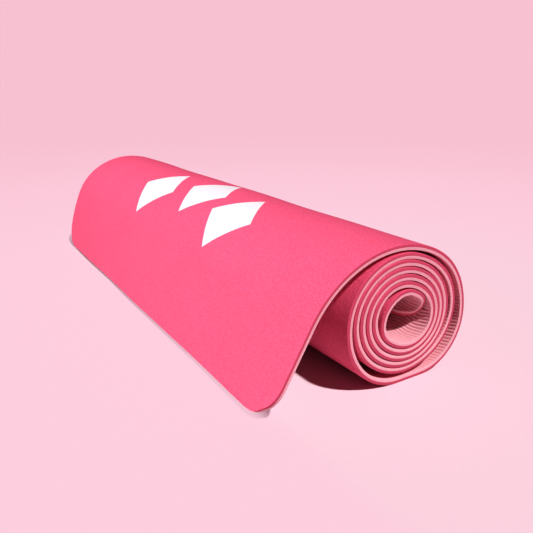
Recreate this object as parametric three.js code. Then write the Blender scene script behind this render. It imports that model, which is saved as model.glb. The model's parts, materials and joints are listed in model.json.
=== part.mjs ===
// A two-layer foam exercise mat, rolled up, with its outermost turn loose and its free end
// lying over the roll as a flap that reaches the floor.
//
// Millimetres, Z up.  X runs along the roll, the flap falls away toward -Y, the floor is z = 0.
//
// The mat is one long sheet.  Everything is worked out along its centreline, a curve in the
// YZ plane that starts at the end inside the roll and finishes at the free end:
//   spiral   the wound turns, down to the point where the sheet lies on the floor
//   turn     the loose outermost turn, going round the far side of the roll and over its top
//   flap     the end that leaves the roll and comes down to the floor
// A position on the sheet is (distance along the centreline, x across, offset from the
// centreline), with positive offsets on the outer side, where the smooth face layer is.

import * as THREE from 'three';

// ---- the sheet ----------------------------------------------------------------------------

const MAT_WIDTH = 610;
const LAYER = 2.7;               // the smooth face layer outside, and the ribbed base inside
const CLEARANCE = 0.3;           // kept between any two solids
const CORNER_RADIUS = 34;        // the four corners of the sheet

// ---- the wound turns ----------------------------------------------------------------------

const START_ANGLE = -30;         // degrees round the roll where the inner end sits
const START_RADIUS = 23.5;       // centreline radius there, before the terms below
const PITCH = 6.18;              // growth of the radius in one turn
const CURL = 10;                 // the inner end is curled in from its turn by this much
const CURL_ANGLE = 70;           // degrees over which the curl dies out
const OVAL = 3.1;                // the turns are oval: longer and narrower than round by this
const OVAL_TILT = -25;           // degrees the long axis of the oval is turned from +Y
// Places where the winding is slack, or pressed in where the amount is negative.  The angle
// counts on from turn to turn: 1800 is the +Y side of the last wound turn.
const SLACK_PLACES = [
  { angle: 145, amount: -5.1 },
  { angle: 1800, amount: 3.8 },
  { angle: 1925, amount: -0.6 },
  { angle: 2045, amount: 5 },
];
const SLACK_SPREAD = 75;         // degrees each way over which the slack dies out
const TELESCOPE = 5;             // how far the inner end stands out along X
const WOUND_TURNS = 5.84;        // roughly: the exact end is where the sheet meets the floor
const LOOP_STEPS = 60;           // straight steps in one wound turn
const SEARCH_ARC = 30;           // degrees searched each way for the lowest point
const SEARCH_STEP = 0.25;
const HEADING_STEP = 0.5;        // degrees each way over which the heading is measured

// ---- the loose turn and the flap ----------------------------------------------------------

const FLOOR_RUN = 27;            // flat length on the floor before the sheet rises
const STRIP_ANGLE = 15;          // bend of every curved strip
const LOWER_RADIUS = 48;         // loose turn, floor to widest point
const UPPER_RADIUS = 71;         // loose turn, widest point to shoulder
const TOP_RADIUS = 100;          // over the top and down the flap
const LOWER_STRIPS = 6;
const UPPER_STRIPS = 4;
const TOP_STRIPS = 6;
const TURN_STRIPS = 12;          // strips up to the top of the roll; the rest are the flap
const FLAP_END = 84.5;           // straight length at the free end
const STRIP_STEPS = 4;           // straight steps in one curved strip
const CORNER_STEPS = 10;         // steps along the rounded corners of the free end

const FACE_COLOUR = 0xf2416f;
const BASE_COLOUR = 0xf0a8b6;

const radians = THREE.MathUtils.degToRad;

// ---- centreline ---------------------------------------------------------------------------

// A station is a place on the centreline: distance s, position y z, and heading, the
// direction of travel in radians turned from +Y toward +Z.

function slackAt(angle) {
  let slack = 0;
  for (const place of SLACK_PLACES) {
    const away = Math.min(1, Math.abs(angle - place.angle) / SLACK_SPREAD);
    slack += place.amount * Math.cos(Math.PI / 2 * away) ** 2;
  }
  return slack;
}

function spiralRadius(angle) {
  const turns = (angle - START_ANGLE) / 360;
  const oval = OVAL * Math.cos(radians(2 * (angle - OVAL_TILT)));
  const curl = CURL * Math.max(0, 1 - (angle - START_ANGLE) / CURL_ANGLE) ** 2;
  return START_RADIUS + PITCH * turns + oval + slackAt(angle) - curl;
}

function spiralPoint(angle) {
  const r = spiralRadius(angle);
  return { y: r * Math.cos(radians(angle)), z: r * Math.sin(radians(angle)) };
}

// The wound part ends at the lowest point of its last turn, where it lies flat on the floor.
function lowestAngle() {
  const guess = START_ANGLE + 360 * WOUND_TURNS;
  let best = guess;
  for (let angle = guess - SEARCH_ARC; angle <= guess + SEARCH_ARC; angle += SEARCH_STEP) {
    if (spiralPoint(angle).z < spiralPoint(best).z) {
      best = angle;
    }
  }
  return best;
}

function spiralStations() {
  const endAngle = lowestAngle();
  const count = Math.round((endAngle - START_ANGLE) / 360 * LOOP_STEPS);
  const stations = [];
  let s = 0;
  for (let i = 0; i <= count; i++) {
    const angle = START_ANGLE + (endAngle - START_ANGLE) * i / count;
    const here = spiralPoint(angle);
    const before = spiralPoint(angle - HEADING_STEP);
    const after = spiralPoint(angle + HEADING_STEP);
    const heading = Math.atan2(after.z - before.z, after.y - before.y);
    if (i > 0) {
      const previous = stations[i - 1];
      s += Math.hypot(here.y - previous.y, here.z - previous.z);
    }
    stations.push({ s, y: here.y, z: here.z, heading });
  }
  stations[count].heading = 0;
  return stations;
}

// Stations along a straight run, the starting one not repeated.
function straightFrom(start, length, steps) {
  const stations = [];
  for (let i = 1; i <= steps; i++) {
    const along = length * i / steps;
    stations.push({
      s: start.s + along,
      y: start.y + along * Math.cos(start.heading),
      z: start.z + along * Math.sin(start.heading),
      heading: start.heading,
    });
  }
  return stations;
}

// Stations round an arc that turns upward or inward by `angle` degrees.
function arcFrom(start, radius, angle, steps) {
  const centreY = start.y - radius * Math.sin(start.heading);
  const centreZ = start.z + radius * Math.cos(start.heading);
  const stations = [];
  for (let i = 1; i <= steps; i++) {
    const turned = radians(angle) * i / steps;
    const heading = start.heading + turned;
    stations.push({
      s: start.s + radius * turned,
      y: centreY + radius * Math.sin(heading),
      z: centreZ - radius * Math.cos(heading),
      heading,
    });
  }
  return stations;
}

function last(list) {
  return list[list.length - 1];
}

// ---- solids -------------------------------------------------------------------------------

// Half the sheet's width at distance `s`: full width except where the corners are rounded.
function halfWidth(s, length) {
  const fromEnd = Math.min(s, length - s);
  if (fromEnd >= CORNER_RADIUS) {
    return MAT_WIDTH / 2;
  }
  const across = CORNER_RADIUS - Math.max(0, fromEnd);
  return MAT_WIDTH / 2 - CORNER_RADIUS + Math.sqrt(CORNER_RADIUS ** 2 - across ** 2);
}

// The turns are not quite in line: each stands out a little from the one around it.
function sideShift(s, length) {
  return TELESCOPE * (1 - s / length);
}

// A closed slab between two offsets from the centreline, following the given stations.
function slab(stations, innerOffset, outerOffset, length) {
  const positions = [];
  for (const station of stations) {
    const half = halfWidth(station.s, length);
    const shift = sideShift(station.s, length);
    for (const offset of [innerOffset, outerOffset]) {
      const y = station.y + offset * Math.sin(station.heading);
      const z = station.z - offset * Math.cos(station.heading);
      positions.push(shift - half, y, z);
      positions.push(shift + half, y, z);
    }
  }
  // Vertices of each station: 0 inner left, 1 inner right, 2 outer left, 3 outer right.
  const index = [];
  const quad = (a, b, c, d) => index.push(a, c, b, a, d, c);
  const final = 4 * (stations.length - 1);
  quad(0, 1, 3, 2);
  quad(final, final + 2, final + 3, final + 1);
  for (let k = 0; k < final; k += 4) {
    const n = k + 4;
    quad(k, n, n + 1, k + 1);
    quad(k + 2, k + 3, n + 3, n + 2);
    quad(k, k + 2, n + 2, n);
    quad(k + 1, n + 1, n + 3, k + 3);
  }
  const geometry = new THREE.BufferGeometry();
  geometry.setAttribute('position', new THREE.Float32BufferAttribute(positions, 3));
  geometry.setIndex(index);
  geometry.computeVertexNormals();
  return geometry;
}

// Pull the two ends of a run of stations in by half the clearance, so strips do not touch.
function trimmed(stations, trimStart, trimEnd) {
  const cut = stations.map((station) => ({ ...station }));
  const moveAlong = (station, distance) => {
    station.s += distance;
    station.y += distance * Math.cos(station.heading);
    station.z += distance * Math.sin(station.heading);
  };
  if (trimStart) {
    moveAlong(cut[0], CLEARANCE / 2);
  }
  if (trimEnd) {
    moveAlong(last(cut), -CLEARANCE / 2);
  }
  return cut;
}

const faceMaterial = new THREE.MeshStandardMaterial({
  color: FACE_COLOUR, roughness: 0.75, metalness: 0, side: THREE.FrontSide,
});
const baseMaterial = new THREE.MeshStandardMaterial({
  color: BASE_COLOUR, roughness: 0.85, metalness: 0, side: THREE.FrontSide,
});

// One piece of the sheet: its face layer outside, its base layer inside.
function addPiece(group, faceName, baseName, stations, length) {
  const face = new THREE.Mesh(slab(stations, CLEARANCE / 2, LAYER, length), faceMaterial);
  face.name = faceName;
  const base = new THREE.Mesh(slab(stations, -LAYER, -CLEARANCE / 2, length), baseMaterial);
  base.name = baseName;
  group.add(face, base);
}

// ---- the whole mat ------------------------------------------------------------------------

// The runs of stations of the loose turn and the flap, one for each strip.
function stripRuns(start) {
  const arcs = [
    { radius: LOWER_RADIUS, strips: LOWER_STRIPS },
    { radius: UPPER_RADIUS, strips: UPPER_STRIPS },
    { radius: TOP_RADIUS, strips: TOP_STRIPS },
  ];
  const runs = [];
  let from = start;
  for (const arc of arcs) {
    for (let i = 0; i < arc.strips; i++) {
      runs.push([from, ...arcFrom(from, arc.radius, STRIP_ANGLE, STRIP_STEPS)]);
      from = last(last(runs));
    }
  }
  // The free end needs closer steps where its corners are rounded.
  const flat = straightFrom(from, FLAP_END - CORNER_RADIUS, 1);
  const corner = [];
  for (let i = 1; i <= CORNER_STEPS; i++) {
    const along = CORNER_RADIUS * Math.sin(Math.PI / 2 * i / CORNER_STEPS);
    corner.push(...straightFrom(last(flat), along, 1));
  }
  runs.push([from, ...flat, ...corner]);
  return runs;
}

function buildMat() {
  const spiral = spiralStations();
  const rollRun = [...spiral, ...straightFrom(last(spiral), FLOOR_RUN, 1)];
  const runs = stripRuns(last(rollRun));
  const length = last(last(runs)).s;

  const mat = new THREE.Group();
  mat.name = 'exercise_mat';
  addPiece(mat, 'roll_face_layer', 'roll_base_layer', trimmed(rollRun, false, true), length);
  runs.forEach((run, i) => {
    const part = i < TURN_STRIPS ? 'turn' : 'flap';
    const number = String(i < TURN_STRIPS ? i + 1 : i + 1 - TURN_STRIPS).padStart(2, '0');
    const isFreeEnd = i === runs.length - 1;
    const stations = trimmed(run, true, !isFreeEnd);
    addPiece(mat, `${part}_face_${number}`, `${part}_base_${number}`, stations, length);
  });
  return mat;
}

// Move everything so that the middle of the bottom of the bounding box is the origin.
function standOnOrigin(group) {
  const box = new THREE.Box3().setFromObject(group);
  const centre = box.getCenter(new THREE.Vector3());
  for (const mesh of group.children) {
    mesh.geometry.translate(-centre.x, -centre.y, -box.min.z);
  }
  return group;
}

export default standOnOrigin(buildMat());
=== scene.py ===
"""A rolled exercise mat: two bonded layers of foam, the smooth one outside.

The mat is built as one long sheet.  A place on the sheet is (s, x, t): s millimetres along
it from the end inside the roll, x across it, and t out from its middle, so the smooth face
layer has t > 0 and the ribbed base layer t < 0.  `sheet_point` says where that place
is in space.  The loose turn and the flap are cut into pieces, one over each of the frame's
joints and a last one at the free end that rides the last flap strip; the pieces over the
joints keep their resting shape and ride no body.  The turns inside the roll don't bend.
"""

import json
import math

import bpy
import numpy as np
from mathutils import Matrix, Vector

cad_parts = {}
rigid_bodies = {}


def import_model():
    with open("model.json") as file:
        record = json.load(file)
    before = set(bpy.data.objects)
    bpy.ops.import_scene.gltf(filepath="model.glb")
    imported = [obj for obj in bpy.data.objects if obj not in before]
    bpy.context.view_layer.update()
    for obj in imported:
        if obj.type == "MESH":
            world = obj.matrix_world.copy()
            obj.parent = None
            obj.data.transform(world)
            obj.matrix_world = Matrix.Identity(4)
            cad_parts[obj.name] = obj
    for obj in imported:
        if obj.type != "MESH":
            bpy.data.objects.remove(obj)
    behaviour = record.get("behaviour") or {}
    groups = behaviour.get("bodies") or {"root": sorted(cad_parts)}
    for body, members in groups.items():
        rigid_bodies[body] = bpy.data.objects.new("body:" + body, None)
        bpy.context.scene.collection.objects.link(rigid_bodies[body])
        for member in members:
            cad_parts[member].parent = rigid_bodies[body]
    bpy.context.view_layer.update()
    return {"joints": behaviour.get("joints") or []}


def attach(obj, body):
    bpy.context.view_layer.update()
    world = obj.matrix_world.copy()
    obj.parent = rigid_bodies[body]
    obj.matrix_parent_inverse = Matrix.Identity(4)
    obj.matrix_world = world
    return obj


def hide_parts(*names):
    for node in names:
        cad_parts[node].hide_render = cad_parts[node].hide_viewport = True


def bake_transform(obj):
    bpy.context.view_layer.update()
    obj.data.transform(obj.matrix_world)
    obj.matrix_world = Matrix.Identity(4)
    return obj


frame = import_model()

MM = 0.001

# ---- sizes, in millimetres and degrees, as in the CAD -------------------------------------

MAT_WIDTH = 610
LAYER = 2.7             # thickness of each of the two layers
CORNER_RADIUS = 34

START_ANGLE = -30       # where round the roll the sheet's inner end is
START_RADIUS = 23.5
PITCH = 6.18            # from one turn to the next
CURL = 10               # the inner end is curled in this much further,
CURL_ANGLE = 70         # over this angle
OVAL = 3.1              # the radius swings this much to each side of a round roll's
OVAL_TILT = -25
# Where the turns stand out from an even roll (angle along the spiral, how far).
SLACK_PLACES = ((145, -5.1), (1800, 3.8), (1925, -0.6), (2045, 5))
SLACK_SPREAD = 75
TELESCOPE = 5           # the inner end stands this far out at the +X side
WOUND_TURNS = 5.84      # about how many turns there are down to the floor

FLOOR_RUN = 27          # flat on the floor, between the wound turns and the first strip
STRIP_ANGLE = 15        # how much each strip turns, except the last, which is straight
LOWER_RADIUS = 48
UPPER_RADIUS = 71
TOP_RADIUS = 100
LOWER_STRIPS = 6
UPPER_STRIPS = 4
TOP_STRIPS = 6
TURN_STRIPS = 12        # of all strips, these are the loose turn and the others the flap
FLAP_END = 84.5         # length of the last strip

# ---- the foam's own detail ----------------------------------------------------------------

FAR_LEAN = 18           # degrees that the flap's far side ends up steeper than its near side
LEAN_START = 50         # and how far into the flap that starts
FAR_BULGE = -3          # degrees that the far side is less steep at the start of the flap
BULGE_BEFORE = 60       # and how far that reaches before and after it
BULGE_AFTER = 90
FAR_SHORT = 3.2         # how much shorter the flap's far side is

# Slow waves over the loose turn and the flap, rising from one strip to another, and more
# along the free edge.  A wave's length is given over 2 pi.
RIPPLE = 0.5
RIPPLE_STRIPS = (3, 9)
BROAD_SHARE = 0.6
BROAD_WAVE = 43
BROAD_PHASE = 1.3
SLANTED_WAVE = 23       # across the sheet
SLANTED_WAVE_ALONG = 70
EDGE_RIPPLE = 0.3
EDGE_REACH = 90
EDGE_WAVE = 37
EDGE_PHASE = 0.4

END_STEP = 1.2          # the face layer stops this short of the base layer at the free end,
END_STEP_REACH = 4      # its last few millimetres pressed together
CUT_ROUND = 0.5         # rounding where the sheet was cut
BOND = 0.02             # each layer stops this short of the middle of the sheet
CUT_RIBS = 0.25         # share of the ribs' depth left where the sheet was cut

RIB_PITCH = 3.5
RIB_DEPTH = 0.6
RIB_WAVE = 1.2          # how far a rib swings to each side
RIB_WAVE_LENGTH = 30
SWING_START = 2         # the swing grows between these distances from the sheet's ends
SWING_FULL = 14
# One rib from groove to groove: place as a share of the pitch, and share of the depth.
RIB_ROWS = ((0.0, 1.0), (0.15, 0.9), (0.27, 0.12), (0.5, 0.0), (0.73, 0.12), (0.85, 0.9))

SEAM_AT = 13.5          # where the last strip's seam is, past its start
FIRST_SEAM = 10         # where the first seam is, before the first strip

# ---- centreline ---------------------------------------------------------------------------

FINE = 0.25             # step along the loose turn and the flap
WOUND_POINTS = 12000    # places along the wound turns
FLOOR_SEARCH = 30       # degrees to each side where the roll's lowest place is looked for,
SEARCH_STEP = 0.05      # this finely


def smooth(value, low, high):
    """0 below low, 1 above high, and a smooth rise between."""
    t = np.clip((value - low) / (high - low), 0, 1)
    return t * t * (3 - 2 * t)


def spiral_radius(angle):
    """How far the middle of the sheet is from the middle of the roll."""
    turns = (angle - START_ANGLE) / 360
    oval = OVAL * np.cos(np.radians(2 * (angle - OVAL_TILT)))
    curl = CURL * np.maximum(0, 1 - (angle - START_ANGLE) / CURL_ANGLE) ** 2
    radius = START_RADIUS + PITCH * turns + oval - curl
    for place, amount in SLACK_PLACES:
        away = np.minimum(1, np.abs(angle - place) / SLACK_SPREAD)
        radius = radius + amount * np.cos(np.pi / 2 * away) ** 2
    return radius


def spiral_point(angle):
    r = spiral_radius(angle)
    return r * np.cos(np.radians(angle)), r * np.sin(np.radians(angle))


def wound_curve():
    """Distance, y, z and heading along the wound turns, down to where they meet the floor."""
    guess = START_ANGLE + 360 * WOUND_TURNS
    around = np.arange(guess - FLOOR_SEARCH, guess + FLOOR_SEARCH, SEARCH_STEP)
    last = around[np.argmin(spiral_point(around)[1])]
    angle = np.linspace(START_ANGLE, last, WOUND_POINTS)
    y, z = spiral_point(angle)
    heading = np.unwrap(np.arctan2(np.gradient(z), np.gradient(y)))
    heading -= 2 * np.pi * np.round(heading[-1] / (2 * np.pi))
    s = np.concatenate([[0], np.cumsum(np.hypot(np.diff(y), np.diff(z)))])
    return s, y, z, heading


def strip_lengths():
    """How far each strip runs along the sheet."""
    arcs = [LOWER_RADIUS] * LOWER_STRIPS + [UPPER_RADIUS] * UPPER_STRIPS
    arcs += [TOP_RADIUS] * TOP_STRIPS
    return [math.radians(STRIP_ANGLE) * radius for radius in arcs] + [FLAP_END]


WOUND = wound_curve()
WOUND_LENGTH = WOUND[0][-1]
STRIP_STARTS = WOUND_LENGTH + FLOOR_RUN + np.cumsum([0] + strip_lengths()[:-1])
SHEET_LENGTH = STRIP_STARTS[-1] + FLAP_END
FLAP_START = STRIP_STARTS[TURN_STRIPS]


def far_lean(s):
    """What the far side of the flap adds to the heading, in degrees."""
    rise = smooth(s, FLAP_START - BULGE_BEFORE, FLAP_START)
    fall = smooth(s, FLAP_START, FLAP_START + BULGE_AFTER)
    lean = smooth(s, FLAP_START + LEAN_START, SHEET_LENGTH)
    return FAR_BULGE * rise * (1 - fall) + FAR_LEAN * lean


def loose_curve(lean):
    """The same for the loose turn and the flap: lean is 0 at the near side, 1 at the far."""
    s = np.arange(WOUND_LENGTH, SHEET_LENGTH + FINE, FINE)
    knots = np.append(STRIP_STARTS, SHEET_LENGTH)
    turned = np.append(np.arange(len(STRIP_STARTS)), len(STRIP_STARTS) - 1) * STRIP_ANGLE
    heading = np.radians(np.interp(s, knots, turned) + lean * far_lean(s))
    middle = (heading[1:] + heading[:-1]) / 2
    y = WOUND[1][-1] + np.concatenate([[0], np.cumsum(np.cos(middle) * FINE)])
    z = WOUND[2][-1] + np.concatenate([[0], np.cumsum(np.sin(middle) * FINE)])
    return s, y, z, heading


def whole_curve(lean):
    """The wound turns, the loose turn and the flap in one."""
    loose = loose_curve(lean)
    return [np.concatenate([a, b[1:]]) for a, b in zip(WOUND, loose)]


NEAR_CURVE = whole_curve(0)
FAR_CURVE = whole_curve(1)

# The first joint's pivot is on the outer surface where the first strip starts, which fixes
# the sheet's place in the frame; along the roll the frame's middle is midway between the
# turns that stand out most and least.
FIRST_JOINT = next(j for j in frame["joints"] if j["child"] == "turn_01")
SHIFT_Y = FIRST_JOINT["pos_m"][1] / MM - (WOUND[1][-1] + FLOOR_RUN)
SHIFT_Z = LAYER - WOUND[2][-1]
SHIFT_X = -TELESCOPE / 2


def half_width(s):
    """Half the sheet's width, less where its corners are rounded."""
    across = CORNER_RADIUS - np.clip(np.minimum(s, SHEET_LENGTH - s), 0, CORNER_RADIUS)
    return MAT_WIDTH / 2 - CORNER_RADIUS + np.sqrt(CORNER_RADIUS**2 - across**2)


def ripple(s, x):
    """How far the loose foam stands off its even curve, along its normal."""
    first, full = RIPPLE_STRIPS
    loose = smooth(s, STRIP_STARTS[first], STRIP_STARTS[full])
    broad = np.sin(x / BROAD_WAVE + BROAD_PHASE)
    slanted = np.sin(x / SLANTED_WAVE + s / SLANTED_WAVE_ALONG)
    waves = BROAD_SHARE * broad + (1 - BROAD_SHARE) * slanted
    edge = smooth(s, SHEET_LENGTH - EDGE_REACH, SHEET_LENGTH)
    return RIPPLE * loose * waves + EDGE_RIPPLE * edge * np.sin(x / EDGE_WAVE + EDGE_PHASE)


def sheet_point(s, x, t):
    """Where places on the sheet are in the frame, in metres, for arrays s, x and t."""
    lean = np.clip(0.5 - x / MAT_WIDTH, 0, 1)
    far_s = s - FAR_SHORT * smooth(s, SHEET_LENGTH - FLAP_END, SHEET_LENGTH)
    y, z, heading = (
        (1 - lean) * np.interp(s, NEAR_CURVE[0], NEAR_CURVE[i])
        + lean * np.interp(far_s, FAR_CURVE[0], FAR_CURVE[i])
        for i in (1, 2, 3)
    )
    out = t + ripple(s, x)
    shift = TELESCOPE * (1 - s / SHEET_LENGTH)
    return np.stack(
        [
            x + shift + SHIFT_X,
            y + out * np.sin(heading) + SHIFT_Y,
            z - out * np.cos(heading) + SHIFT_Z,
        ],
        axis=-1,
    ) * MM


# ---- meshes -------------------------------------------------------------------------------

CORNER_ROWS = 16
ROUND_ROWS = (0.08, 0.25)   # rows inside the rounding of a cut end
ROW_GAP = 0.02              # a rib's row this near to a seam is left out
EDGE_BAND = 5               # next to the side edges the columns keep their distance from them
EDGE_COLUMNS = (0, 0.12, 0.3, CUT_ROUND, 2, EDGE_BAND)
SHARP_ANGLE = 50


def rib_swing(s, x):
    """How far a rib is swung along the sheet at x; nothing near the sheet's two ends."""
    room = smooth(np.minimum(s, SHEET_LENGTH - s), SWING_START, SWING_FULL)
    return RIB_WAVE * room * np.cos(2 * np.pi * (MAT_WIDTH / 2 - x) / RIB_WAVE_LENGTH)


def end_rows(start, end):
    """Extra rows where the sheet's ends are rounded and its corners turn."""
    turn = np.radians(np.linspace(0, 90, CORNER_ROWS))
    corner = CORNER_RADIUS * (1 - np.cos(turn))
    rows = np.concatenate([corner, ROUND_ROWS])
    rows = np.concatenate([rows, SHEET_LENGTH - rows])
    return rows[(rows >= start) & (rows <= end)]


def face_rows(start, end, step):
    """Evenly placed rows, and the groove on each, which is nothing."""
    rows = np.linspace(start, end, max(2, round((end - start) / step) + 1))
    rows = np.union1d(rows, end_rows(start, end))
    return rows, np.zeros(len(rows))


def base_rows(start, end):
    """Row places that follow the ribs, and how deep the groove is on each."""
    rows, depth = [], []
    for rib in range(math.floor(start / RIB_PITCH), math.ceil(end / RIB_PITCH)):
        for place, groove in RIB_ROWS:
            rows.append((rib + place) * RIB_PITCH)
            depth.append(groove)
    rows, depth = np.array(rows), np.array(depth)
    keep = (rows > start + ROW_GAP) & (rows < end - ROW_GAP)
    ends = np.concatenate([[start, end], end_rows(start, end)])
    every = np.union1d(rows[keep], ends)
    return every, np.interp(every, rows, depth)


def columns(spacing):
    """Places across the sheet, as (side, distance in from its edge) in the edge bands and
    as (share of the half width between the bands, None) elsewhere."""
    count = round((MAT_WIDTH - 2 * EDGE_BAND) / spacing)
    left = [(-1, distance) for distance in EDGE_COLUMNS]
    inner = [(share, None) for share in np.linspace(-1, 1, count + 1)[1:-1]]
    return left + inner + [(1, distance) for distance in reversed(EDGE_COLUMNS)]


def across(s, cols):
    """x of every column on every row, and how far in it is, up to the edge band's width."""
    half = half_width(s)
    x = np.empty((len(s), len(cols)))
    inside = np.empty_like(x)
    for j, (share, edge) in enumerate(cols):
        inside[:, j] = EDGE_BAND if edge is None else edge
        x[:, j] = share * (half - inside[:, j])
    return x, inside


def cut_rounding(distance):
    """How much thinner the sheet is this near to a cut edge."""
    d = np.clip(distance, 0, CUT_ROUND)
    return CUT_ROUND - np.sqrt(CUT_ROUND**2 - (CUT_ROUND - d) ** 2)


def slab_faces(rows, cols):
    """Faces of a closed slab: over a lower grid of points, an upper one, and round the rim."""
    upper = rows * cols
    grid = np.arange(upper).reshape(rows, cols)
    a, b, c, d = grid[:-1, :-1], grid[1:, :-1], grid[1:, 1:], grid[:-1, 1:]
    rim = np.concatenate([grid[:, 0], grid[-1, 1:], grid[-2::-1, -1], grid[0, -2:0:-1]])
    following = np.roll(rim, -1)
    faces = [
        np.stack([a, b, c, d], -1).reshape(-1, 4),
        np.stack([a, d, c, b], -1).reshape(-1, 4) + upper,
        np.stack([rim, rim + upper, following + upper, following], -1),
    ]
    return np.concatenate(faces).tolist()


def slab_mesh(name, rows, cols, offsets, end_step):
    """A closed mesh over the given rows and columns, end_step short at the free end.

    offsets(groove, rounding) gives the lower and upper t of every point.
    """
    s_row, depth = rows
    x, inside = across(s_row, cols)
    s = s_row[:, None] + rib_swing(s_row[:, None], x)
    s -= end_step * smooth(s, SHEET_LENGTH - END_STEP_REACH, SHEET_LENGTH)
    from_end = np.minimum(s_row, SHEET_LENGTH - s_row)[:, None]
    rounding = cut_rounding(np.minimum(inside, from_end))
    groove = depth[:, None] * (CUT_RIBS + (1 - CUT_RIBS) * smooth(inside, 0, EDGE_BAND))
    surfaces = offsets(groove, rounding)
    points = np.concatenate([sheet_point(s, x, t).reshape(-1, 3) for t in surfaces])
    places = np.concatenate([np.stack([x, s, t], -1).reshape(-1, 3) for t in surfaces])
    grooves = np.concatenate([groove.ravel(), np.zeros(groove.size)])
    mesh = bpy.data.meshes.new(name)
    mesh.from_pydata(points.tolist(), [], slab_faces(*x.shape))
    mesh.validate()
    sheet = mesh.attributes.new("sheet", "FLOAT_VECTOR", "POINT")
    sheet.data.foreach_set("vector", places.astype(np.float32).ravel())
    # The groove depth, which the base material also uses for painted shade in the grooves.
    deep = mesh.attributes.new("groove", "FLOAT", "POINT")
    deep.data.foreach_set("value", grooves.astype(np.float32))
    mesh.shade_smooth()
    mesh.set_sharp_from_angle(angle=math.radians(SHARP_ANGLE))
    return mesh


def face_offsets(groove, rounding):
    """Lower and upper t of the face layer, whose rows have no groove."""
    high = LAYER - rounding
    return np.full_like(high, BOND), high


def base_offsets(groove, rounding):
    """Lower and upper t of the base layer, with its ribs below."""
    low = -LAYER + np.maximum(RIB_DEPTH * groove, rounding)
    return low, np.full_like(low, -BOND)


def add_piece(name, mesh, material):
    piece = bpy.data.objects.new(name, mesh)
    bpy.context.scene.collection.objects.link(piece)
    mesh.materials.append(material)
    return piece


def face_piece(name, start, end, step, spacing, material):
    rows = face_rows(start, end, step)
    mesh = slab_mesh(name, rows, columns(spacing), face_offsets, END_STEP)
    return add_piece(name, mesh, material)


def base_piece(name, start, end, spacing, material):
    mesh = slab_mesh(name, base_rows(start, end), columns(spacing), base_offsets, 0)
    return add_piece(name, mesh, material)


# ---- materials ----------------------------------------------------------------------------

MIX_A, MIX_B, MIX_RESULT = 6, 7, 2      # the colour sockets of Blender's Mix node


class Nodes:
    """A small helper for writing one material's node tree."""

    def __init__(self, name):
        self.material = bpy.data.materials.new(name)
        self.material.use_nodes = True
        self.tree = self.material.node_tree
        self.shader = self.tree.nodes["Principled BSDF"]

    def add(self, kind, **settings):
        node = self.tree.nodes.new(kind)
        for key, value in settings.items():
            setattr(node, key, value)
        return node

    def link(self, source, target):
        self.tree.links.new(source, target)

    def attribute(self, name, output):
        """A value that the mesh carries: "sheet" is (x, s, t) in millimetres."""
        node = self.add("ShaderNodeAttribute", attribute_name=name)
        return node.outputs[output]

    def sheet_place(self):
        """x, s and t as three values."""
        node = self.add("ShaderNodeSeparateXYZ")
        self.link(self.attribute("sheet", "Vector"), node.inputs["Vector"])
        return tuple(node.outputs)

    def noise(self, size, detail):
        """Noise with features about `size` millimetres across."""
        node = self.add("ShaderNodeTexNoise")
        node.inputs["Scale"].default_value = 1 / size
        node.inputs["Detail"].default_value = detail
        self.link(self.attribute("sheet", "Vector"), node.inputs["Vector"])
        return node.outputs["Fac"]

    def cells(self, size):
        """Small rounded cells: 0 at the middle of each and rising outward."""
        node = self.add("ShaderNodeTexVoronoi", feature="SMOOTH_F1")
        node.inputs["Scale"].default_value = 1 / size
        self.link(self.attribute("sheet", "Vector"), node.inputs["Vector"])
        return node.outputs["Distance"]

    def math(self, operation, a, b=None):
        node = self.add("ShaderNodeMath", operation=operation)
        for socket, value in zip(node.inputs, (a, b)):
            if isinstance(value, (int, float)):
                socket.default_value = value
            elif value is not None:
                self.link(value, socket)
        return node.outputs[0]

    def smooth(self, value, low, high):
        """0 below low, 1 above high, and a smooth rise between."""
        node = self.add("ShaderNodeMapRange", interpolation_type="SMOOTHSTEP")
        self.link(value, node.inputs["Value"])
        node.inputs["From Min"].default_value = low
        node.inputs["From Max"].default_value = high
        return node.outputs["Result"]

    def ramp(self, factor, stops, colours):
        """The first colour up to the first stop, and the second from the second stop on."""
        node = self.add("ShaderNodeValToRGB")
        for element, position, colour in zip(node.color_ramp.elements, stops, colours):
            element.position = position
            element.color = (*colour, 1)
        self.link(factor, node.inputs["Fac"])
        return node.outputs["Color"]

    def mix(self, factor, a, b):
        node = self.add("ShaderNodeMix", data_type="RGBA")
        if isinstance(factor, (int, float)):
            node.inputs["Factor"].default_value = factor
        else:
            self.link(factor, node.inputs["Factor"])
        for socket, value in ((node.inputs[MIX_A], a), (node.inputs[MIX_B], b)):
            if isinstance(value, tuple):
                socket.default_value = (*value, 1)
            else:
                self.link(value, socket)
        return node.outputs[MIX_RESULT]

    def bump(self, height, distance, normal=None):
        """A bumpy normal, `distance` millimetres deep, added to another where one is given."""
        node = self.add("ShaderNodeBump")
        node.inputs["Distance"].default_value = distance * MM
        self.link(height, node.inputs["Height"])
        if normal is not None:
            self.link(normal, node.inputs["Normal"])
        return node.outputs["Normal"]


def srgb(red, green, blue):
    """A colour given as it looks on screen, 0 to 255, as the shader wants it."""
    def linear(value):
        value /= 255
        return value / 12.92 if value <= 0.04045 else ((value + 0.055) / 1.055) ** 2.4
    return tuple(linear(value) for value in (red, green, blue))


# Plain white diamonds printed on the face layer: the middle of each across the sheet, and
# in from its free end.
PRINTS = ((-80, 143), (15, 166), (105, 143))
PRINT_HALF_WIDTH = 40
PRINT_HALF_LENGTH = 44
PRINT_DEPTH = 0.1       # how far below the surface the print reaches
PRINT_WORN = 0.1        # the foam shows through it this much at most

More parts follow.
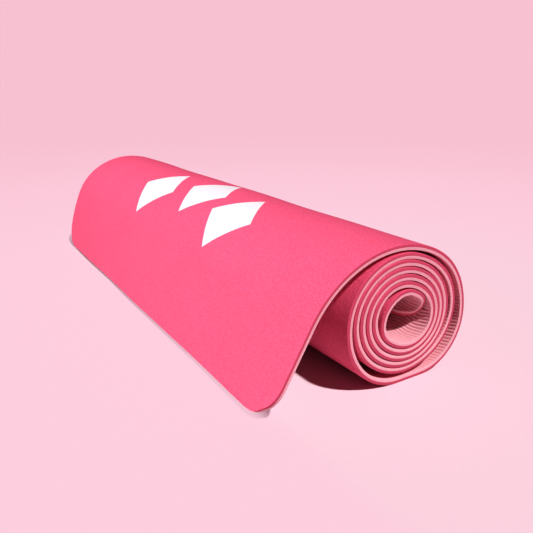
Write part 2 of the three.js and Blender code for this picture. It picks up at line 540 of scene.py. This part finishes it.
# Each foam has a pair of colours for broad patches, a pair for fine specks, and one where
# it was cut; the stops say where on the noise a pair's colours are reached.
FACE_PATCHES = (srgb(226, 91, 126), srgb(231, 96, 131))
FACE_SPECKS = (srgb(213, 77, 111), srgb(241, 109, 144))
FACE_CUT = srgb(200, 78, 106)
BASE_PATCHES = (srgb(244, 184, 193), srgb(250, 192, 200))
BASE_SPECKS = (srgb(236, 170, 180), srgb(254, 202, 209))
BASE_CUT = srgb(232, 174, 184)
PRINT_WHITE = srgb(226, 222, 226)
# Painted shade: the bottom of each rib groove on the base layer is darkened toward this
# colour.
GROOVE_SHADE_COLOUR = srgb(190, 100, 120)
PATCH_STOPS = (0.3, 0.7)
SPECK_STOPS = (0.35, 0.65)
FACE_SPECK_SHARE = 0.6
BASE_SPECK_SHARE = 0.5
GROOVE_SHADE_SHARE = 0.4      # how far a groove's bottom takes the painted shade
UNDER_RIBS = 0.1        # the cut colour starts this much deeper than the grooves

FACE_ROUGHNESS = 0.66
FACE_ROUGHNESS_SPREAD = 0.12
BASE_ROUGHNESS = 0.85
FACE_SPECULAR = 0.3
BASE_SPECULAR = 0.2


def print_mask(nodes):
    """1 on the printed diamonds and 0 elsewhere."""
    x, s, t = nodes.sheet_place()
    surface = nodes.math("GREATER_THAN", t, LAYER - PRINT_DEPTH)
    shapes = None
    for middle_x, from_end in PRINTS:
        aside = nodes.math("ABSOLUTE", nodes.math("SUBTRACT", x, middle_x))
        along = nodes.math("ABSOLUTE", nodes.math("SUBTRACT", s, SHEET_LENGTH - from_end))
        aside = nodes.math("DIVIDE", aside, PRINT_HALF_WIDTH)
        along = nodes.math("DIVIDE", along, PRINT_HALF_LENGTH)
        inside = nodes.math("LESS_THAN", nodes.math("ADD", aside, along), 1)
        shapes = inside if shapes is None else nodes.math("MAXIMUM", shapes, inside)
    return nodes.math("MULTIPLY", surface, shapes)


def cut_mask(nodes, depth):
    """1 where a layer was cut, more than `depth` below its surface, and 0 above that."""
    t = nodes.sheet_place()[2]
    return nodes.math("LESS_THAN", nodes.math("ABSOLUTE", t), LAYER - depth)


def face_material():
    nodes = Nodes("face_foam")
    broad = nodes.noise(size=60, detail=2)
    fine = nodes.noise(size=1.5, detail=2)
    patches = nodes.ramp(broad, PATCH_STOPS, FACE_PATCHES)
    specks = nodes.ramp(fine, SPECK_STOPS, FACE_SPECKS)
    colour = nodes.mix(FACE_SPECK_SHARE, patches, specks)
    colour = nodes.mix(cut_mask(nodes, CUT_ROUND / 2), colour, FACE_CUT)
    worn = nodes.math("MULTIPLY", nodes.noise(size=1.6, detail=4), PRINT_WORN)
    printed = nodes.math("MAXIMUM", nodes.math("SUBTRACT", print_mask(nodes), worn), 0)
    colour = nodes.mix(printed, colour, PRINT_WHITE)
    nodes.link(colour, nodes.shader.inputs["Base Color"])
    rough = nodes.math("MULTIPLY", broad, FACE_ROUGHNESS_SPREAD)
    rough = nodes.math("ADD", rough, FACE_ROUGHNESS)
    nodes.link(rough, nodes.shader.inputs["Roughness"])
    nodes.shader.inputs["Specular IOR Level"].default_value = FACE_SPECULAR
    grain = nodes.bump(nodes.cells(size=1.8), distance=0.12)
    grain = nodes.bump(nodes.noise(size=0.7, detail=1), distance=0.06, normal=grain)
    nodes.link(grain, nodes.shader.inputs["Normal"])
    return nodes.material


def base_material():
    nodes = Nodes("base_foam")
    broad = nodes.noise(size=45, detail=2)
    fine = nodes.noise(size=0.8, detail=2)
    patches = nodes.ramp(broad, PATCH_STOPS, BASE_PATCHES)
    specks = nodes.ramp(fine, SPECK_STOPS, BASE_SPECKS)
    colour = nodes.mix(BASE_SPECK_SHARE, patches, specks)
    colour = nodes.mix(cut_mask(nodes, RIB_DEPTH + UNDER_RIBS), colour, BASE_CUT)
    # Painted shade in the rib grooves, as deep as the mesh's groove value.
    shade = nodes.math("MULTIPLY", nodes.attribute("groove", "Fac"), GROOVE_SHADE_SHARE)
    colour = nodes.mix(shade, colour, GROOVE_SHADE_COLOUR)
    nodes.link(colour, nodes.shader.inputs["Base Color"])
    nodes.shader.inputs["Roughness"].default_value = BASE_ROUGHNESS
    nodes.shader.inputs["Specular IOR Level"].default_value = BASE_SPECULAR
    grain = nodes.bump(nodes.noise(size=0.6, detail=2), distance=0.1)
    nodes.link(grain, nodes.shader.inputs["Normal"])
    return nodes.material


# ---- the mat ------------------------------------------------------------------------------


def strip_body(number):
    """The frame's name for strip 1, 2, ...; strip 0 is the roll."""
    if number == 0:
        return "roll"
    if number <= TURN_STRIPS:
        return f"turn_{number:02d}"
    return f"flap_{number - TURN_STRIPS:02d}"


def seams():
    """Where the sheet is cut into pieces: a little before the first strip, in the middle of
    every strip but the last, and near the start of that long one."""
    middles = (STRIP_STARTS[:-1] + STRIP_STARTS[1:]) / 2
    first = STRIP_STARTS[0] - FIRST_SEAM
    return np.concatenate([[first], middles, [STRIP_STARTS[-1] + SEAM_AT]])


def bend_over_joint(piece):
    """Bakes the piece's place into its mesh; it is not bent over a joint."""
    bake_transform(piece)


FACE_STEP = 1.5         # between the face layer's rows
HIDDEN_STEP = 2.5       # and inside the roll
FACE_SPACING = 20       # between the face layer's columns
RIB_SPACING = 3.75      # between the base layer's columns, to follow the ribs' waves
HIDDEN_SPACING = 50     # and where the base layer isn't seen, between the turns
CORE_LENGTH = 175       # how much of the base layer is seen round the roll's open middle


def build_mat():
    """All pieces of the mat: those of the roll and the free end each ride a body; those over
    the joints ride none and are not bent.
    """
    face, base = face_material(), base_material()
    cuts = seams()
    pieces = [
        face_piece("wound_face", 0, cuts[0], HIDDEN_STEP, FACE_SPACING, face),
        base_piece("core_base", 0, CORE_LENGTH, RIB_SPACING, base),
        base_piece("wound_base", CORE_LENGTH, cuts[0], HIDDEN_SPACING, base),
    ]
    for piece in pieces:
        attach(piece, "roll")
    for i, (start, end) in enumerate(zip(cuts[:-1], cuts[1:])):
        body = strip_body(i + 1)
        bent = [
            face_piece(f"{body}_face_bend", start, end, FACE_STEP, FACE_SPACING, face),
            base_piece(f"{body}_base_bend", start, end, RIB_SPACING, base),
        ]
        for piece in bent:
            bend_over_joint(piece)
        pieces += bent
    free_end = [
        face_piece("free_end_face", cuts[-1], SHEET_LENGTH, FACE_STEP, FACE_SPACING, face),
        base_piece("free_end_base", cuts[-1], SHEET_LENGTH, RIB_SPACING, base),
    ]
    for piece in free_end:
        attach(piece, strip_body(len(STRIP_STARTS)))
    return pieces + free_end


def replace_cad():
    """Hides every CAD node, each a plain foam solid; the mat's pieces are drawn in their
    place.
    """
    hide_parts("roll_face_layer")
    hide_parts("roll_base_layer")
    for number in range(1, len(STRIP_STARTS) + 1):
        body = strip_body(number)
        kind, index = body.split("_")
        for layer in ("face", "base"):
            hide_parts(f"{kind}_{layer}_{index}")


# ---- stage, light and camera --------------------------------------------------------------

# Lengths and places in this section are in metres.

FLOOR_RINGS = (0.001, 0.5, 1.5, 3.0)    # radii of the floor's rings of points
COVE_RADIUS = 1.0
COVE_STEPS = 13
WALL_TOP = 2.2
ROUND_SIDES = 72

# Near the mat the floor is lit by the lamps.  Away from FADE_CENTRE, and toward -Y up to the
# flap's free edge, it turns into a surface that glows, like the wall; in front of the flap
# this glow is painted light that takes away most of the flap's shadow on the floor.  The glow
# is brighter near the mat, a painted pool of light.
FADE_CENTRE = (0.2, 0, 0)
FADE_AWAY = (0.3, 0.7)          # from, to
FADE_FORWARD = (0.08, 0.108)    # from, to
FORWARD_SHARE = 0.9             # how far it turns in front of the mat
FLOOR_COLOUR = srgb(203, 176, 185)
FLOOR_ROUGHNESS = 0.95
NEAR_GLOW = srgb(254, 214, 228)
GLOW_FADE = (0.2, 2.0)          # where the brighter glow near the mat, a painted pool of light, changes to the wall's
WALL_COLOUR = srgb(249, 203, 217)

AMBIENT = 0.04
SOFTBOX_SIZE = 0.5          # the softbox lights only the mat
SOFTBOX_POWER = 20
SOFTBOX_PLACE = (0.05, -1.4, 0.75)
END_LAMP_STRENGTH = 3.6     # a harder lamp shines into the rolled end
FLOOR_LAMP_STRENGTH = 2.4   # and another like it lights only the floor
LAMP_SPREAD = 3             # degrees
LAMP_PLACE = (1.0, 0.1, 1.45)
VIEW_GAMMA = 0.82           # deepens the shadows a little


def floor_material():
    """Lit by the lamps near the mat, and glowing further out: brighter near the mat, a painted
    pool of light, and like the wall far off.
    """
    nodes = Nodes("floor")
    place = nodes.add("ShaderNodeTexCoord").outputs["Object"]
    reach = nodes.add("ShaderNodeVectorMath", operation="DISTANCE")
    nodes.link(place, reach.inputs[0])
    reach.inputs[1].default_value = FADE_CENTRE
    split = nodes.add("ShaderNodeSeparateXYZ")
    nodes.link(place, split.inputs["Vector"])
    outward = nodes.smooth(reach.outputs["Value"], *FADE_AWAY)
    forward = nodes.smooth(nodes.math("MULTIPLY", split.outputs["Y"], -1), *FADE_FORWARD)
    even = nodes.math("MAXIMUM", outward, nodes.math("MULTIPLY", forward, FORWARD_SHARE))
    colour = nodes.mix(even, FLOOR_COLOUR, (0.0, 0.0, 0.0))
    nodes.link(colour, nodes.shader.inputs["Base Color"])
    nodes.shader.inputs["Roughness"].default_value = FLOOR_ROUGHNESS
    nodes.shader.inputs["Specular IOR Level"].default_value = 0.0
    far = nodes.smooth(reach.outputs["Value"], *GLOW_FADE)
    nodes.link(nodes.mix(far, NEAR_GLOW, WALL_COLOUR), nodes.shader.inputs["Emission Color"])
    nodes.link(even, nodes.shader.inputs["Emission Strength"])
    return nodes.material


def wall_material():
    """The same tone from everywhere, whatever light falls on it."""
    nodes = Nodes("wall")
    nodes.shader.inputs["Base Color"].default_value = (0, 0, 0, 1)
    nodes.shader.inputs["Specular IOR Level"].default_value = 0.0
    nodes.shader.inputs["Emission Color"].default_value = (*WALL_COLOUR, 1)
    nodes.shader.inputs["Emission Strength"].default_value = 1.0
    return nodes.material


def round_sheet(name, outline, material):
    """A stage piece: an outline of (radius, height) places turned about the Z axis."""
    turn = np.arange(ROUND_SIDES) * 2 * np.pi / ROUND_SIDES
    points = [
        (radius * math.cos(angle), radius * math.sin(angle), height)
        for radius, height in outline
        for angle in turn
    ]
    faces = []
    for ring in range(len(outline) - 1):
        inner, outer = ring * ROUND_SIDES, (ring + 1) * ROUND_SIDES
        for i in range(ROUND_SIDES):
            j = (i + 1) % ROUND_SIDES
            faces.append((inner + j, inner + i, outer + i, outer + j))
    mesh = bpy.data.meshes.new(name)
    mesh.from_pydata(points, [], faces)
    mesh.shade_smooth()
    mesh.materials.append(material)
    piece = bpy.data.objects.new(name, mesh)
    bpy.context.scene.collection.objects.link(piece)
    return piece


def build_stage():
    """A round floor, and a low curved wall all round it that lights and shades nothing.

    Gives back the floor, which has a lamp of its own.
    """
    floor = round_sheet("floor", [(ring, 0) for ring in FLOOR_RINGS], floor_material())
    floor_radius = FLOOR_RINGS[-1]
    cove = [
        (floor_radius + COVE_RADIUS * math.sin(bend), COVE_RADIUS * (1 - math.cos(bend)))
        for bend in np.radians(np.linspace(0, 90, COVE_STEPS))
    ]
    top = (floor_radius + COVE_RADIUS, WALL_TOP)
    wall = round_sheet("wall", [*cove, top], wall_material())
    wall.visible_shadow = False
    wall.visible_diffuse = False
    wall.visible_glossy = False
    return floor


def add_lamp(name, kind, energy, place, only_on=None):
    """A lamp that shines from `place` toward the middle; it can light some pieces only."""
    data = bpy.data.lights.new(name, kind)
    data.energy = energy
    lamp = bpy.data.objects.new(name, data)
    lamp.location = place
    lamp.rotation_euler = Vector(place).to_track_quat("Z", "Y").to_euler()
    bpy.context.scene.collection.objects.link(lamp)
    if only_on is not None:
        lit = bpy.data.collections.new(f"lit by {name}")
        for piece in only_on:
            lit.objects.link(piece)
        lamp.light_linking.receiver_collection = lit
    return data


def build_light(mat, floor):
    """A softbox on the mat, two harder lamps and a little light from all round."""
    world = bpy.data.worlds.new("studio")
    world.use_nodes = True
    background = world.node_tree.nodes["Background"]
    background.inputs["Color"].default_value = (*WALL_COLOUR, 1)
    background.inputs["Strength"].default_value = AMBIENT
    bpy.context.scene.world = world

    softbox = add_lamp("softbox", "AREA", SOFTBOX_POWER, SOFTBOX_PLACE, mat)
    softbox.shape = "DISK"
    softbox.size = SOFTBOX_SIZE
    end_lamp = add_lamp("end_lamp", "SUN", END_LAMP_STRENGTH, LAMP_PLACE)
    floor_lamp = add_lamp("floor_lamp", "SUN", FLOOR_LAMP_STRENGTH, LAMP_PLACE, [floor])
    for lamp in (end_lamp, floor_lamp):
        lamp.angle = math.radians(LAMP_SPREAD)


CAMERA_PLACE = (0.639, -0.3241, 0.2666)
CAMERA_AZIMUTH = 57.26      # degrees, as is the next
CAMERA_ELEVATION = 18.39
FOCAL_RATIO = 600 / 533     # focal length over the width of the picture
SENSOR_WIDTH = 36           # millimetres
VIEW_DISTANCE = 100         # nothing further off is drawn


def build_camera():
    data = bpy.data.cameras.new("camera")
    data.sensor_width = SENSOR_WIDTH
    data.lens = SENSOR_WIDTH * FOCAL_RATIO
    data.clip_end = VIEW_DISTANCE
    camera = bpy.data.objects.new("camera", data)
    bpy.context.scene.collection.objects.link(camera)
    camera.location = CAMERA_PLACE
    tilt = math.radians(90 - CAMERA_ELEVATION)
    camera.rotation_euler = (tilt, 0, math.radians(CAMERA_AZIMUTH))
    bpy.context.scene.camera = camera


mat_pieces = build_mat()
replace_cad()
stage_floor = build_stage()
build_light(mat_pieces, stage_floor)
build_camera()
bpy.context.scene.view_settings.view_transform = "Standard"
bpy.context.scene.view_settings.gamma = VIEW_GAMMA
